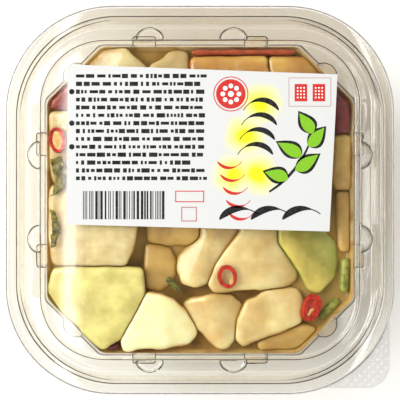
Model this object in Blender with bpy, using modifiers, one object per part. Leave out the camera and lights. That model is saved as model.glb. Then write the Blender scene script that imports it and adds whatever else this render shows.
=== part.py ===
"""A square clear plastic tub of cut, salted daikon radish under its clear snap-in lid.

Metres, +Z up. The origin is at the centre of the tub's base, on the surface it stands on.
The lid's dotted grip tab is at the +X, -Y corner.
"""
import math
import random

import bmesh
import bpy
from mathutils import Matrix, Vector

MM = 0.001

# Walls and gaps, in mm
SHEET = 0.6
GAP = 0.35

# Tub body, in mm: an octagon in plan that widens upwards
BASE_HALF = 44.6
BASE_CHAMFER = 16.0
FOOT_HALF = 45.7
FOOT_CHAMFER = 16.4
FOOT_Z = 1.3
MOUTH_HALF = 48.8
MOUTH_CHAMFER = 17.5
MOUTH_Z = 30.0
# Tub rim above the body: a wide step, a second wall and a flat flange
STEP_HALF = 55.2
STEP_RADIUS = 26.6
STEP_Z = 30.6
RIM_HALF = 56.9
RIM_RADIUS = 31.5
FLANGE_UNDER_Z = 37.4
TUB_FLANGE_HALF = 59.0
TUB_FLANGE_RADIUS = 32.0

# Upright flutes and ribs in each side wall, and a half-round column in each cut corner, in mm
FLUTE_PLACES = (-17.5, 17.5)
FLUTE_WIDTH = 7.4
FLUTE_FLOOR_WIDTH = 5.8
FLUTE_DEPTH = 2.5
RIB_PLACES = (-10.6, -2.5, 2.5, 10.6)
RIB_WIDTH = 3.0
RIB_DEPTH = 2.2
COLUMN_DEPTH = 2.4
FOOT_SHARE = 0.8
COLUMN_SHARES = (0.0, 0.34, 0.39, 0.5, 0.61, 0.66, 1.0)
COLUMN_BULGES = (0.0, 0.0, 0.7, 1.0, 0.7, 0.0, 0.0)

# Lid, in mm
LID_HALF = 60.0
LID_RADIUS = 33.0
LID_TOP_Z = 39.0
SKIRT_END_Z = 36.9
WALL_TOP_HALF = 55.4
WALL_TOP_RADIUS = 30.8
WALL_FOOT_HALF = 52.6
WALL_FOOT_RADIUS = 23.6
LEDGE_HALF = 49.5
LEDGE_RADIUS = 20.0
LEDGE_Z = 35.0
PANEL_HALF = 48.6
PANEL_RADIUS = 18.6
PANEL_Z = 32.5
LID_CORNER_STEPS = 8
LID_CUT_DEPTH = 4.0
LID_CUT_REACH = 2.0
WALL_TOP_EASE = 0.5
WALL_TOP_DROP = 0.4

# Half-round stacking pockets in the lid's ledge, in mm
POCKET_SPREAD = 13.0
POCKET_SHIFT_X = -2.6
POCKET_SHIFT_Y = 0.9
POCKET_CENTRE = 50.7
POCKET_TOP_RADIUS = 4.1
POCKET_FLOOR_RADIUS = 3.0
POCKET_FLAT = 0.8
POCKET_FLOOR_Z = 32.3
POCKET_SIDES = 20

# Grip tab at one corner, in mm
TAB_REACH_X = 58.4
TAB_REACH_Y = 57.9
TAB_RADIUS = 7.0
TAB_BOTTOM_Z = 36.95
TAB_THICKNESS = 0.7
TAB_ARC_STEPS = 6
DOT_PITCH = 2.66
DOT_ROW = 1.3
DOT_FOOT_RADIUS = 0.62
DOT_TOP_RADIUS = 0.34
DOT_HEIGHT = 0.45
DOT_MARGIN = 0.98
DOT_TO_FLANGE = 0.78
DOT_TO_CORNER = 0.88
DOT_ROWS = 20
DOT_COLUMNS = 12
DOT_SIDES = 6

# Label stuck on the lid's panel, in mm: its corners anticlockwise from the lower left
LABEL_CORNERS = ((-41.6, -7.6), (40.3, -9.8), (42.8, 39.1), (-41.2, 42.2))
LABEL_THICKNESS = 0.3
LABEL_LIFT = 0.3

# Contents, in mm
PIECE_GAP = 0.19
PIECE_BOTTOM = 16.0
PIECE_EDGE = 0.6
THIN_EDGE = 0.45
SLIVER_AREA = 75.0
SHORT_EDGE = 0.8
BRINE_Z = 14.6
LOW_BOTTOM = 2.3
LOW_TOP = 15.0
LOW_CHANNEL = 1.1
LOW_WANDER = 4.0
LOW_FACET_DROP = 1.2
LOW_SLOPES = (6.0, 14.0)
WALL_ROOM = 0.2
LOW_SEED = 7

# Cut daikon lying on top: outline, height of the top, and facets sliced off it. A facet is
# (compass angle it faces, slope in degrees, height where it passes over the piece's middle).
TOP_DAIKON = {
    "daikon_01": (((-39.7, 40.3), (-35.3, 31.8), (-25.5, 29.2), (-15.9, 33.4), (-16.8, 41.9),
                   (-24.0, 47.4), (-31.4, 47.4)), 29.6, ((150, 22, 29.8),)),
    "daikon_02": (((-15.2, 33.2), (-3.8, 31.4), (-3.8, 47.2), (-8.0, 47.2), (-15.8, 42.0)),
                  28.8, ((60, 16, 28.6),)),
    "daikon_03": (((-3.0, 31.2), (10.8, 28.8), (22.4, 31.4), (20.8, 44.8), (-3.0, 44.6)),
                  29.0, ((270, 12, 29.0),)),
    "daikon_04": (((23.4, 31.0), (40.8, 28.6), (40.2, 38.0), (33.4, 44.6), (21.8, 44.8)),
                  28.4, ((20, 18, 28.2),)),
    "daikon_05": (((-47.4, 12.0), (-46.0, 5.4), (-30.2, 5.8), (-26.4, 28.0), (-36.4, 30.6),
                   (-39.2, 27.6), (-47.4, 27.4)), 29.6, ((200, 14, 29.8),)),
    "daikon_06": (((-29.2, 6.0), (-10.0, 6.0), (-4.8, 14.0), (-4.2, 30.4), (-15.2, 32.2),
                   (-25.4, 28.2)), 30.2, ((90, 10, 30.2),)),
    "daikon_07": (((-3.8, 13.0), (0.2, 5.8), (14.4, 6.4), (15.6, 22.0), (10.6, 27.8),
                   (-3.2, 30.2)), 29.8, ((310, 14, 29.8),)),
    "daikon_08": (((15.4, 6.0), (40.0, 4.8), (41.4, 16.0), (40.4, 27.6), (23.6, 30.2),
                   (11.8, 28.4), (16.6, 22.0)), 30.0, ((40, 12, 30.0),)),
    "daikon_09": (((42.4, 3.6), (47.4, 3.2), (47.4, 20.2), (42.6, 19.8)), 27.6, ()),
    "daikon_10": (((-47.4, -9.0), (-46.0, -20.4), (-23.4, -20.4), (-21.0, -16.0),
                   (-19.9, -8.0), (-20.0, 3.2), (-29.4, 4.9), (-46.8, 4.4)), 30.8,
                  ((180, 7, 30.8),)),
    "daikon_11": (((-16.6, -8.0), (-16.4, -13.0), (-9.0, -14.2), (-2.5, -13.6),
                   (-0.8, -12.2), (-0.4, -8.0), (-1.4, 4.8), (-19.0, 5.0)), 28.6,
                  ((250, 14, 28.2),)),
    "daikon_12": (((-17.4, -21.0), (-17.0, -27.8), (-12.5, -28.5), (-8.4, -26.0),
                   (-7.8, -20.0), (-9.6, -15.1), (-17.4, -13.9)), 26.8, ((320, 10, 26.6),)),
    "daikon_13": (((-7.2, -21.8), (-5.2, -26.4), (-1.4, -27.8), (2.0, -26.2), (4.3, -21.2),
                   (7.8, -15.6), (12.4, -10.0), (13.4, 0.0), (12.2, 4.8), (0.3, 4.6),
                   (0.8, -11.6), (-6.2, -17.4)), 30.0, ((345, 24, 29.0), (158, 20, 29.6))),
    "daikon_14": (((3.0, -26.8), (5.2, -21.2), (8.7, -15.8), (13.3, -10.2), (14.4, 4.7),
                   (24.4, 4.2), (24.0, -13.6), (27.6, -18.8), (30.2, -22.0), (29.9, -25.2),
                   (26.0, -26.8), (5.0, -28.4)), 28.7, ((5, 13, 28.9),)),
    "daikon_15": (((25.3, 4.0), (24.9, -13.2), (29.0, -18.6), (31.8, -23.0), (33.9, -28.4),
                   (37.4, -29.0), (41.6, -25.0), (43.4, -19.0), (42.6, -5.0), (41.0, 3.4)),
                  28.6, ((35, 20, 27.4),)),
    "daikon_16": (((43.3, -5.0), (44.4, -15.8), (47.4, -15.8), (47.4, 2.4), (43.2, 2.6)),
                  26.8, ()),
    "daikon_17": (((-47.4, -28.7), (-42.9, -35.0), (-36.0, -41.8), (-30.3, -46.4),
                   (-27.8, -45.0), (-25.3, -43.6), (-20.9, -37.0), (-17.3, -29.0),
                   (-18.2, -21.3), (-46.0, -21.3)), 31.2, ((205, 12, 31.4),)),
    "daikon_18": (((-22.0, -39.2), (-24.7, -44.0), (-24.0, -47.2), (-11.2, -45.8),
                   (-3.3, -45.0), (-0.9, -42.6), (-1.9, -39.4), (-4.9, -35.0),
                   (-8.0, -31.8), (-11.8, -29.9), (-16.4, -29.0)), 31.0,
                  ((10, 16, 31.2),)),
    "daikon_19": (((-5.4, -32.6), (-0.9, -39.8), (2.4, -44.0), (5.8, -46.2), (8.6, -46.2),
                   (10.4, -44.4), (11.4, -38.2), (13.2, -32.8), (10.4, -30.6), (3.3, -30.0),
                   (-2.7, -30.9)), 30.4, ((200, 24, 30.2), (20, 20, 29.6))),
    "daikon_20": (((12.0, -38.0), (11.2, -44.0), (13.4, -45.6), (20.3, -43.0),
                   (26.5, -40.8), (31.8, -38.8), (32.8, -31.2), (30.8, -27.8),
                   (21.2, -28.9), (14.4, -31.8)), 31.4,
                  ((235, 9, 30.3), (60, 12, 29.7))),
    "daikon_21": (((19.0, -46.9), (30.0, -46.9), (33.2, -45.6), (37.2, -41.0), (33.2, -39.4),
                   (27.2, -41.4), (21.0, -43.8), (18.2, -45.2)), 27.4, ((300, 10, 27.0),)),
}

# Carrot pieces: outline, bottom and top height
CARROT = {
    "carrot_01": (((-47.4, 31.6), (-47.4, 28.4), (-39.0, 28.6), (-36.5, 31.4), (-40.2, 38.2),
                   (-42.2, 36.7)), 17.0, 28.8),
    "carrot_02": (((-3.0, 47.4), (-3.0, 45.4), (29.6, 45.6), (31.0, 47.4)), 22.0, 29.6),
    "carrot_03": (((42.2, 36.2), (41.8, 28.0), (42.6, 20.7), (47.4, 21.0), (47.4, 31.0)),
                  16.0, 28.4),
    "carrot_04": (((-30.0, -47.4), (-24.8, -47.4), (-25.4, -44.4), (-27.7, -45.6)), 16.0,
                  27.6),
    "carrot_05": (((-20.4, -20.2), (-17.8, -20.2), (-17.2, -9.0), (-19.3, -9.0),
                   (-20.2, -16.0)), 17.0, 24.2),
}

# Chilli rings: centre, width, length, height, turn about Z and tilt about the long axis
CHILLI = {
    "chilli_ring_01": ((-44.6, 18.8, 31.0), 5.8, 8.6, 1.1, 8.0, 0.0),
    "chilli_ring_02": ((8.5, -24.0, 30.5), 6.6, 7.8, 1.3, 14.0, 0.0),
    "chilli_ring_03": ((35.0, -33.8, 29.2), 6.0, 9.4, 2.6, -20.0, 12.0),
}
CHILLI_WALL = 0.62

# Leafy green: thin leaf scraps, and stalks as bars between two ends
LEAVES = {
    "leaf_01": (((-47.0, 12.5), (-43.6, 14.0), (-41.2, 9.4), (-42.6, 3.0), (-46.8, 1.0),
                 (-45.2, 6.4)), 30.5),
    "leaf_02": (((-47.0, -2.5), (-45.0, -4.0), (-43.4, -9.6), (-45.2, -14.6), (-47.0, -15.2),
                 (-46.2, -8.0)), 31.1),
}
LEAF_THICKNESS = 0.6
STALKS = {
    "stalk_01": ((-10.2, -24.6, 28.2), (-6.6, -28.6, 27.8), 1.1),
    "stalk_02": ((46.0, -18.4, 26.0), (45.4, -29.0, 26.4), 1.35),
    "stalk_03": ((43.6, -31.6, 25.0), (38.2, -37.2, 25.4), 1.35),
}
STALK_SIDES = 10
STALK_TAPER = 0.9


def clear_scene():
    for old in list(bpy.data.objects):
        bpy.data.objects.remove(old, do_unlink=True)


def new_collection(name):
    group = bpy.data.collections.new(name)
    bpy.context.scene.collection.children.link(group)
    return group


def material(name, colour, roughness, transmission=0.0):
    mat = bpy.data.materials.new(name)
    mat.use_nodes = True
    shader = mat.node_tree.nodes["Principled BSDF"]
    shader.inputs["Base Color"].default_value = (*colour, 1.0)
    shader.inputs["Roughness"].default_value = roughness
    shader.inputs["Transmission Weight"].default_value = transmission
    mat.diffuse_color = (*colour, 1.0)
    return mat


def add_object(name, bm, group, mat=None):
    bmesh.ops.recalc_face_normals(bm, faces=bm.faces)
    bmesh.ops.scale(bm, vec=(MM, MM, MM), verts=bm.verts)
    mesh = bpy.data.meshes.new(name)
    bm.to_mesh(mesh)
    bm.free()
    obj = bpy.data.objects.new(name, mesh)
    group.objects.link(obj)
    if mat:
        mesh.materials.append(mat)
    return obj


def make_cutter(obj):
    obj.hide_render = True
    obj.display_type = "WIRE"
    return obj


def round_off(obj, width, segments=2):
    bevel = obj.modifiers.new("rounded edges", "BEVEL")
    bevel.width = width * MM
    bevel.segments = segments
    bevel.limit_method = "ANGLE"
    bevel.angle_limit = math.radians(20)
    bevel.use_clamp_overlap = True


def boolean(obj, operation, other=None, group=None):
    cut = obj.modifiers.new(operation.lower(), "BOOLEAN")
    cut.operation = operation
    cut.solver = "EXACT"
    if group:
        cut.operand_type = "COLLECTION"
        cut.collection = group
    else:
        cut.object = other


def mix(low, high, share):
    return low + (high - low) * share


# Plan outlines, anticlockwise lists of (x, y) in mm

def quarter_turns(side):
    """Repeat one side's points, which run up the +X side and round its corner, four times."""
    points = []
    for turn in range(4):
        spin = Matrix.Rotation(math.radians(90 * turn), 2)
        points += [spin @ Vector(point) for point in side]
    return points


def rounded_square(half, radius, steps):
    side = []
    for step in range(steps + 1):
        angle = math.radians(90 * step / steps)
        centre = half - radius
        side.append((centre + radius * math.cos(angle), centre + radius * math.sin(angle)))
    return quarter_turns(side)


def side_wall_points(half, flute, rib):
    """Points along the +X side: outward flutes and inward ribs of the given depths."""
    points = []
    for place in FLUTE_PLACES:
        for offset, depth in ((-FLUTE_WIDTH / 2, 0), (-FLUTE_FLOOR_WIDTH / 2, flute),
                              (FLUTE_FLOOR_WIDTH / 2, flute), (FLUTE_WIDTH / 2, 0)):
            points.append((half + depth, place + offset))
    for place in RIB_PLACES:
        for offset, depth in ((-RIB_WIDTH / 2, 0), (0, rib), (RIB_WIDTH / 2, 0)):
            points.append((half - depth, place + offset))
    return sorted(points, key=lambda point: point[1])


def tub_outline(half, corner, flute=0.0, rib=0.0, column=0.0, rounded=False):
    """The tub's plan at one height. Cut corners carry the columns, round ones are plain."""
    side = side_wall_points(half, flute, rib)
    last = len(COLUMN_SHARES) - 1
    for index, share in enumerate(COLUMN_SHARES):
        if rounded:
            angle = math.radians(90 * index / last)
            centre = half - corner
            point = (centre + corner * math.cos(angle), centre + corner * math.sin(angle))
        else:
            bulge = COLUMN_BULGES[index] * column / math.sqrt(2)
            point = (half - corner * share + bulge, half - corner * (1 - share) + bulge)
        side.append(point)
    return quarter_turns(side)


def body_outline(z):
    """The outside of the tub's body wall at a height between its foot and its mouth."""
    share = (z - FOOT_Z) / (MOUTH_Z - FOOT_Z)
    return tub_outline(mix(FOOT_HALF, MOUTH_HALF, share), mix(FOOT_CHAMFER, MOUTH_CHAMFER, share),
                       FLUTE_DEPTH, RIB_DEPTH * (1 - share), COLUMN_DEPTH)


def base_outline():
    """The outside of the tub's base, where the flutes and columns stand out less."""
    return tub_outline(BASE_HALF, BASE_CHAMFER, FLUTE_DEPTH * FOOT_SHARE, RIB_DEPTH,
                       COLUMN_DEPTH * FOOT_SHARE)


def inset(points, distance):
    """Move each edge of an anticlockwise outline inwards by the distance, with mitred corners."""
    moved = []
    for index, point in enumerate(points):
        here = Vector(point)
        before = (here - Vector(points[index - 1])).normalized()
        after = (Vector(points[(index + 1) % len(points)]) - here).normalized()
        left = Vector((-before.y, before.x)) + Vector((-after.y, after.x))
        left.normalize()
        spread = max(left.dot(Vector((-after.y, after.x))), 0.5)
        moved.append(here + left * distance / spread)
    return moved


def loft(rings):
    """Close a stack of outlines of equal count, given as (outline, z), into one solid."""
    bm = bmesh.new()
    loops = [[bm.verts.new((x, y, z)) for x, y in outline] for outline, z in rings]
    for lower, upper in zip(loops, loops[1:]):
        count = len(lower)
        for index in range(count):
            after = (index + 1) % count
            bm.faces.new((lower[index], lower[after], upper[after], upper[index]))
    bm.faces.new(list(reversed(loops[0])))
    bm.faces.new(loops[-1])
    return bm


def prism(outline, bottom, top):
    return loft(((outline, bottom), (outline, top)))


# The tub

def build_tub(group, plastic):
    outside = (
        (base_outline(), 0.0),
        (body_outline(FOOT_Z), FOOT_Z),
        (body_outline(MOUTH_Z), MOUTH_Z),
        (tub_outline(STEP_HALF, STEP_RADIUS, rounded=True), STEP_Z),
        (tub_outline(RIM_HALF, RIM_RADIUS, rounded=True), FLANGE_UNDER_Z),
        (tub_outline(TUB_FLANGE_HALF, TUB_FLANGE_RADIUS, rounded=True), FLANGE_UNDER_Z),
    )
    inside = [(outside[-1][0], FLANGE_UNDER_Z + SHEET)]
    for outline, z in reversed(outside[:-1]):
        inside.append((inset(outline, SHEET), z + SHEET))
    return add_object("tub", loft(list(outside) + inside), group, plastic)


# The lid: what lies under its upper surface, less what lies under its lower surface

def lid_outline(half, radius):
    return rounded_square(half, radius, LID_CORNER_STEPS)


def build_under_lid(cutters):
    skirt = LID_HALF - SHEET
    rings = (
        (LID_HALF + LID_CUT_REACH, LID_RADIUS, POCKET_FLOOR_Z - LID_CUT_DEPTH),
        (LID_HALF + LID_CUT_REACH, LID_RADIUS, SKIRT_END_Z),
        (skirt, LID_RADIUS - SHEET, SKIRT_END_Z),
        (skirt, LID_RADIUS - SHEET, LID_TOP_Z - SHEET),
        (WALL_TOP_HALF + WALL_TOP_EASE, WALL_TOP_RADIUS + WALL_TOP_EASE, LID_TOP_Z - SHEET),
        (WALL_FOOT_HALF + WALL_TOP_EASE, WALL_FOOT_RADIUS + WALL_TOP_EASE, LEDGE_Z - SHEET),
        (LEDGE_HALF + SHEET, LEDGE_RADIUS + SHEET, LEDGE_Z - SHEET),
        (PANEL_HALF + SHEET, PANEL_RADIUS + SHEET, PANEL_Z - SHEET),
    )
    bm = loft([(lid_outline(half, radius), z) for half, radius, z in rings])
    return make_cutter(add_object("under_lid", bm, cutters))


def pocket_places():
    places = []
    for turn in range(4):
        along_x = turn % 2 == 1
        for sign in (-1, 1):
            slide = sign * POCKET_SPREAD
            if along_x:
                middle = (slide + POCKET_SHIFT_X, POCKET_CENTRE * (1 if turn == 1 else -1))
            else:
                middle = (POCKET_CENTRE * (1 if turn == 0 else -1), slide + POCKET_SHIFT_Y)
            places.append((turn, middle))
    return places


def build_pockets(grow, name, cutters):
    """Tapered pockets with one flat side, which faces the middle of the lid."""
    depth = LID_TOP_Z + 1 - POCKET_FLOOR_Z + grow
    for index, (turn, middle) in enumerate(pocket_places()):
        bm = bmesh.new()
        bmesh.ops.create_cone(bm, cap_ends=True, segments=POCKET_SIDES,
                              radius1=POCKET_FLOOR_RADIUS + grow,
                              radius2=POCKET_TOP_RADIUS + grow, depth=depth)
        geometry = bm.verts[:] + bm.edges[:] + bm.faces[:]
        cut = bmesh.ops.bisect_plane(bm, geom=geometry, plane_co=(-POCKET_FLAT - grow, 0, 0),
                                     plane_no=(-1, 0, 0), clear_outer=True)
        edges = [item for item in cut["geom_cut"] if isinstance(item, bmesh.types.BMEdge)]
        bmesh.ops.contextual_create(bm, geom=edges)
        bmesh.ops.rotate(bm, verts=bm.verts, matrix=Matrix.Rotation(math.radians(90 * turn), 3, "Z"))
        bmesh.ops.translate(bm, verts=bm.verts,
                            vec=(*middle, POCKET_FLOOR_Z - grow + depth / 2))
        make_cutter(add_object(f"{name}_{index}", bm, cutters))


def corner_centre():
    """Middle of the flange's round corner at the grip tab."""
    return LID_HALF - LID_RADIUS, -(LID_HALF - LID_RADIUS)


def tab_outline():
    """The flat tab beyond the flange: a squarer corner outside the flange's round one."""
    centre_x, centre_y = corner_centre()
    root = LID_RADIUS - SHEET / 2
    start = math.acos((TAB_REACH_X - centre_x) / root)
    end = math.asin((TAB_REACH_Y + centre_y) / root)
    points = []
    for step in range(TAB_ARC_STEPS * 2 + 1):
        angle = -mix(start, end, step / (TAB_ARC_STEPS * 2))
        points.append((centre_x + root * math.cos(angle), centre_y + root * math.sin(angle)))
    for step in range(TAB_ARC_STEPS + 1):
        angle = math.radians(-90 + 90 * step / TAB_ARC_STEPS)
        points.append((TAB_REACH_X - TAB_RADIUS + TAB_RADIUS * math.cos(angle),
                       -TAB_REACH_Y + TAB_RADIUS + TAB_RADIUS * math.sin(angle)))
    return points


def dot_places():
    """Staggered rows of dots, kept where they lie wholly on the tab."""
    centre_x, centre_y = corner_centre()
    corner_x = TAB_REACH_X - TAB_RADIUS
    corner_y = -TAB_REACH_Y + TAB_RADIUS
    places = []
    for row in range(DOT_ROWS):
        y = -TAB_REACH_Y + DOT_MARGIN + row * DOT_ROW
        for column in range(DOT_COLUMNS):
            x = TAB_REACH_X - DOT_MARGIN - (column + 0.5 * (row % 2)) * DOT_PITCH
            beyond_flange = math.hypot(x - centre_x, y - centre_y) > LID_RADIUS + DOT_TO_FLANGE
            past_corner = max(x - corner_x, 0), max(corner_y - y, 0)
            on_tab = math.hypot(*past_corner) < TAB_RADIUS - DOT_TO_CORNER
            if beyond_flange and on_tab and x > centre_x and y < centre_y:
                places.append((x, y))
    return places


def build_tab(cutters):
    tab = add_object("tab", prism(tab_outline(), TAB_BOTTOM_Z, TAB_BOTTOM_Z + TAB_THICKNESS), cutters)
    make_cutter(tab)
    bm = bmesh.new()
    sunk = TAB_THICKNESS / 2
    for x, y in dot_places():
        spot = Matrix.Translation((x, y, TAB_BOTTOM_Z + TAB_THICKNESS + (DOT_HEIGHT - sunk) / 2))
        bmesh.ops.create_cone(bm, cap_ends=True, segments=DOT_SIDES, radius1=DOT_FOOT_RADIUS,
                              radius2=DOT_TOP_RADIUS, depth=DOT_HEIGHT + sunk, matrix=spot)
    dots = make_cutter(add_object("dots", bm, cutters))
    return tab, dots


def build_lid(group, plastic):
    rings = (
        (LID_HALF, LID_RADIUS, POCKET_FLOOR_Z - LID_CUT_DEPTH / 2),
        (LID_HALF, LID_RADIUS, LID_TOP_Z),
        (WALL_TOP_HALF, WALL_TOP_RADIUS, LID_TOP_Z),
        (WALL_TOP_HALF - WALL_TOP_EASE, WALL_TOP_RADIUS - WALL_TOP_EASE, LID_TOP_Z - WALL_TOP_DROP),
        (WALL_FOOT_HALF, WALL_FOOT_RADIUS, LEDGE_Z),
        (LEDGE_HALF, LEDGE_RADIUS, LEDGE_Z),
        (PANEL_HALF, PANEL_RADIUS, PANEL_Z),
    )
    bm = loft([(lid_outline(half, radius), z) for half, radius, z in rings])
    lid = add_object("lid", bm, group, plastic)
    loose = new_collection("lid_tools")
    pockets = new_collection("pocket_cutters")
    pocket_shells = new_collection("pocket_shell_cutters")
    build_pockets(0.0, "pocket", pockets)
    build_pockets(SHEET, "pocket_shell", pocket_shells)
    under = build_under_lid(loose)
    boolean(under, "DIFFERENCE", group=pocket_shells)
    boolean(lid, "DIFFERENCE", group=pockets)
    boolean(lid, "DIFFERENCE", other=under)
    tab, dots = build_tab(loose)
    boolean(lid, "UNION", other=tab)
    boolean(lid, "UNION", other=dots)
    return lid


def build_label(group, paper):
    bottom = PANEL_Z + LABEL_LIFT
    return add_object("label", prism(LABEL_CORNERS, bottom, bottom + LABEL_THICKNESS), group, paper)


# The contents

def room(z):
    """How far from the middle a piece may reach at this height: to a side, and |x| + |y|."""
    share = max(z - FOOT_Z, 0) / (MOUTH_Z - FOOT_Z)
    side = mix(FOOT_HALF, MOUTH_HALF, share) - SHEET - GAP
    rib = RIB_DEPTH * (1 - share)
    corner = mix(2 * FOOT_HALF - FOOT_CHAMFER, 2 * MOUTH_HALF - MOUTH_CHAMFER, share)
    return side - rib - WALL_ROOM, corner - (SHEET + GAP) * 2


def keep_in(point, z):
    side, corner = room(z)
    x = max(-side, min(side, point[0]))
    y = max(-side, min(side, point[1]))
    over = abs(x) + abs(y) - corner
    if over > 0:
        x -= math.copysign(over / 2, x)
        y -= math.copysign(over / 2, y)
    return x, y


def area(outline):
    pairs = zip(outline, outline[1:] + outline[:1])
    return sum(a[0] * b[1] - b[0] * a[1] for a, b in pairs) / 2


def middle(outline):
    return sum((Vector(point) for point in outline), Vector((0, 0))) / len(outline)


def cut_piece(outline, bottom, top, facets=(), narrow=0.95):
    """A piece cut by a knife: upright, a little narrower below, with facets sliced off its top."""
    centre = middle(outline)
    low = [keep_in(centre + (Vector(point) - centre) * narrow, bottom) for point in outline]
    high = [keep_in(point, top) for point in outline]
    bm = loft(((low, bottom), (high, top)))
    bmesh.ops.triangulate(bm, faces=bm.faces)
    for compass, slope, height in facets:
        angle = math.radians(compass)
        lean = math.radians(slope)
        normal = (math.sin(lean) * math.cos(angle), math.sin(lean) * math.sin(angle), math.cos(lean))
        geometry = bm.verts[:] + bm.edges[:] + bm.faces[:]
        cut = bmesh.ops.bisect_plane(bm, geom=geometry, plane_co=(*centre, height),
                                     plane_no=normal, clear_outer=True)
        edges = [item for item in cut["geom_cut"] if isinstance(item, bmesh.types.BMEdge)]
        bmesh.ops.contextual_create(bm, geom=edges)
        bmesh.ops.triangulate(bm, faces=bm.faces)
    bmesh.ops.dissolve_limit(bm, angle_limit=math.radians(2), verts=bm.verts, edges=bm.edges)
    bmesh.ops.remove_doubles(bm, verts=bm.verts, dist=SHORT_EDGE)
    bmesh.ops.dissolve_degenerate(bm, dist=SHORT_EDGE / 2, edges=bm.edges)
    return bm


def build_top_daikon(group, flesh):
    for name, (outline, top, facets) in TOP_DAIKON.items():
        bm = cut_piece(inset(outline, PIECE_GAP), PIECE_BOTTOM, top, facets)
        edge = PIECE_EDGE if area(outline) > SLIVER_AREA else THIN_EDGE
        round_off(add_object(name, bm, group, flesh), edge)


def build_carrot(group, flesh):
    for name, (outline, bottom, top) in CARROT.items():
        bm = cut_piece(inset(outline, PIECE_GAP / 2), bottom, top, narrow=0.9)
        round_off(add_object(name, bm, group, flesh), THIN_EDGE, 1)


def low_outlines():
    """Nine pieces in rows of three, with seams moved about by a seeded draw."""
    draw = random.Random(LOW_SEED)
    side = room(LOW_BOTTOM)[0]
    seams = (-side, -side / 3, side / 3, side)
    points = {}
    for column, x in enumerate(seams):
        for row, y in enumerate(seams):
            inner_x = column in (1, 2)
            inner_y = row in (1, 2)
            points[column, row] = (x + draw.uniform(-LOW_WANDER, LOW_WANDER) * inner_x,
                                   y + draw.uniform(-LOW_WANDER, LOW_WANDER) * inner_y)
    outlines = []
    for column in range(3):
        for row in range(3):
            corners = ((column, row), (column + 1, row), (column + 1, row + 1), (column, row + 1))
            outlines.append([keep_in(points[corner], LOW_BOTTOM) for corner in corners])
    return outlines


def build_low_daikon(group, flesh):
    draw = random.Random(LOW_SEED + 1)
    for index, outline in enumerate(low_outlines()):
        facets = ((draw.uniform(0, 360), draw.uniform(*LOW_SLOPES), LOW_TOP - LOW_FACET_DROP),)
        bm = cut_piece(inset(outline, LOW_CHANNEL), LOW_BOTTOM, LOW_TOP, facets, narrow=1.0)
        round_off(add_object(f"daikon_{22 + index}", bm, group, flesh), PIECE_EDGE)


def build_brine(group, liquid):
    """Brine round the lower pieces, which stand in it in holes a little wider than they are."""
    wall = SHEET + 2 * GAP
    floor = base_outline()
    bottom = SHEET + GAP
    outlines = [(inset(floor, wall), bottom)]
    for z in (FOOT_Z + bottom, BRINE_Z):
        outlines.append((inset(body_outline(z), wall), z))
    brine = add_object("brine", loft(outlines), group, liquid)
    holes = new_collection("brine_cutters")
    for index, outline in enumerate(low_outlines()):
        bm = cut_piece(inset(outline, LOW_CHANNEL - GAP), LOW_BOTTOM - GAP, LOW_TOP, narrow=1.0)
        make_cutter(add_object(f"hole_{index}", bm, holes))
    boolean(brine, "DIFFERENCE", group=holes)
    return brine


def build_chilli(group, flesh):
    for name, (centre, width, length, height, turn, tilt) in CHILLI.items():
        bpy.ops.mesh.primitive_torus_add(major_segments=14, minor_segments=6,
                                         major_radius=width / 2 - CHILLI_WALL,
                                         minor_radius=CHILLI_WALL)
        ring = bpy.context.object
        ring.name = name
        ring.data.name = name
        stretch = Matrix.Diagonal((1, length / width, height / 2 / CHILLI_WALL, 1))
        spin = Matrix.Rotation(math.radians(turn), 4, "Z") @ Matrix.Rotation(math.radians(tilt), 4, "Y")
        size = Matrix.Scale(MM, 4)
        ring.data.transform(size @ Matrix.Translation(centre) @ spin @ stretch)
        ring.data.materials.append(flesh)
        for owner in list(ring.users_collection):
            owner.objects.unlink(ring)
        group.objects.link(ring)


def build_leaves(group, green):
    for name, (outline, bottom) in LEAVES.items():
        add_object(name, prism(outline[::-1], bottom, bottom + LEAF_THICKNESS), group, green)


def build_stalks(group, green):
    for name, (start, end, radius) in STALKS.items():
        start, end = Vector(start), Vector(end)
        run = end - start
        bm = bmesh.new()
        bmesh.ops.create_cone(bm, cap_ends=True, segments=STALK_SIDES, radius1=radius,
                              radius2=radius * STALK_TAPER, depth=run.length)
        bmesh.ops.rotate(bm, verts=bm.verts, matrix=run.to_track_quat("Z", "Y").to_matrix())
        bmesh.ops.translate(bm, verts=bm.verts, vec=(start + end) / 2)
        add_object(name, bm, group, green)


def main():
    clear_scene()
    group = new_collection("daikon_tub")
    plastic = material("clear PET", (0.9, 0.92, 0.92), 0.05, 0.9)
    paper = material("white label paper", (0.93, 0.93, 0.92), 0.45)
    daikon = material("salted daikon", (0.86, 0.74, 0.34), 0.3)
    carrot = material("salted carrot", (0.52, 0.13, 0.04), 0.3)
    chilli = material("red chilli", (0.42, 0.03, 0.02), 0.25)
    green = material("leafy green", (0.16, 0.2, 0.05), 0.4)
    liquid = material("brine", (0.75, 0.62, 0.25), 0.05, 0.8)
    build_tub(group, plastic)
    build_lid(group, plastic)
    build_label(group, paper)
    build_top_daikon(group, daikon)
    build_low_daikon(group, daikon)
    build_carrot(group, carrot)
    build_brine(group, liquid)
    build_chilli(group, chilli)
    build_leaves(group, green)
    build_stalks(group, green)
    for obj in group.objects:
        obj.data.shade_smooth()
        obj.data.set_sharp_from_angle(angle=math.radians(30))


main()
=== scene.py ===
"""A square clear plastic tub of cut, salted daikon radish, with a printed label on its snap-in lid.

The frame's own place and metres are kept: the tub stands on z = 0, centred on the origin.
Sizes in this script are in mm unless a name says otherwise, and MM turns them to metres.
"""
import math
import random

import bmesh
import bpy
from mathutils import Matrix, Vector, noise
from mathutils.bvhtree import BVHTree


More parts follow.
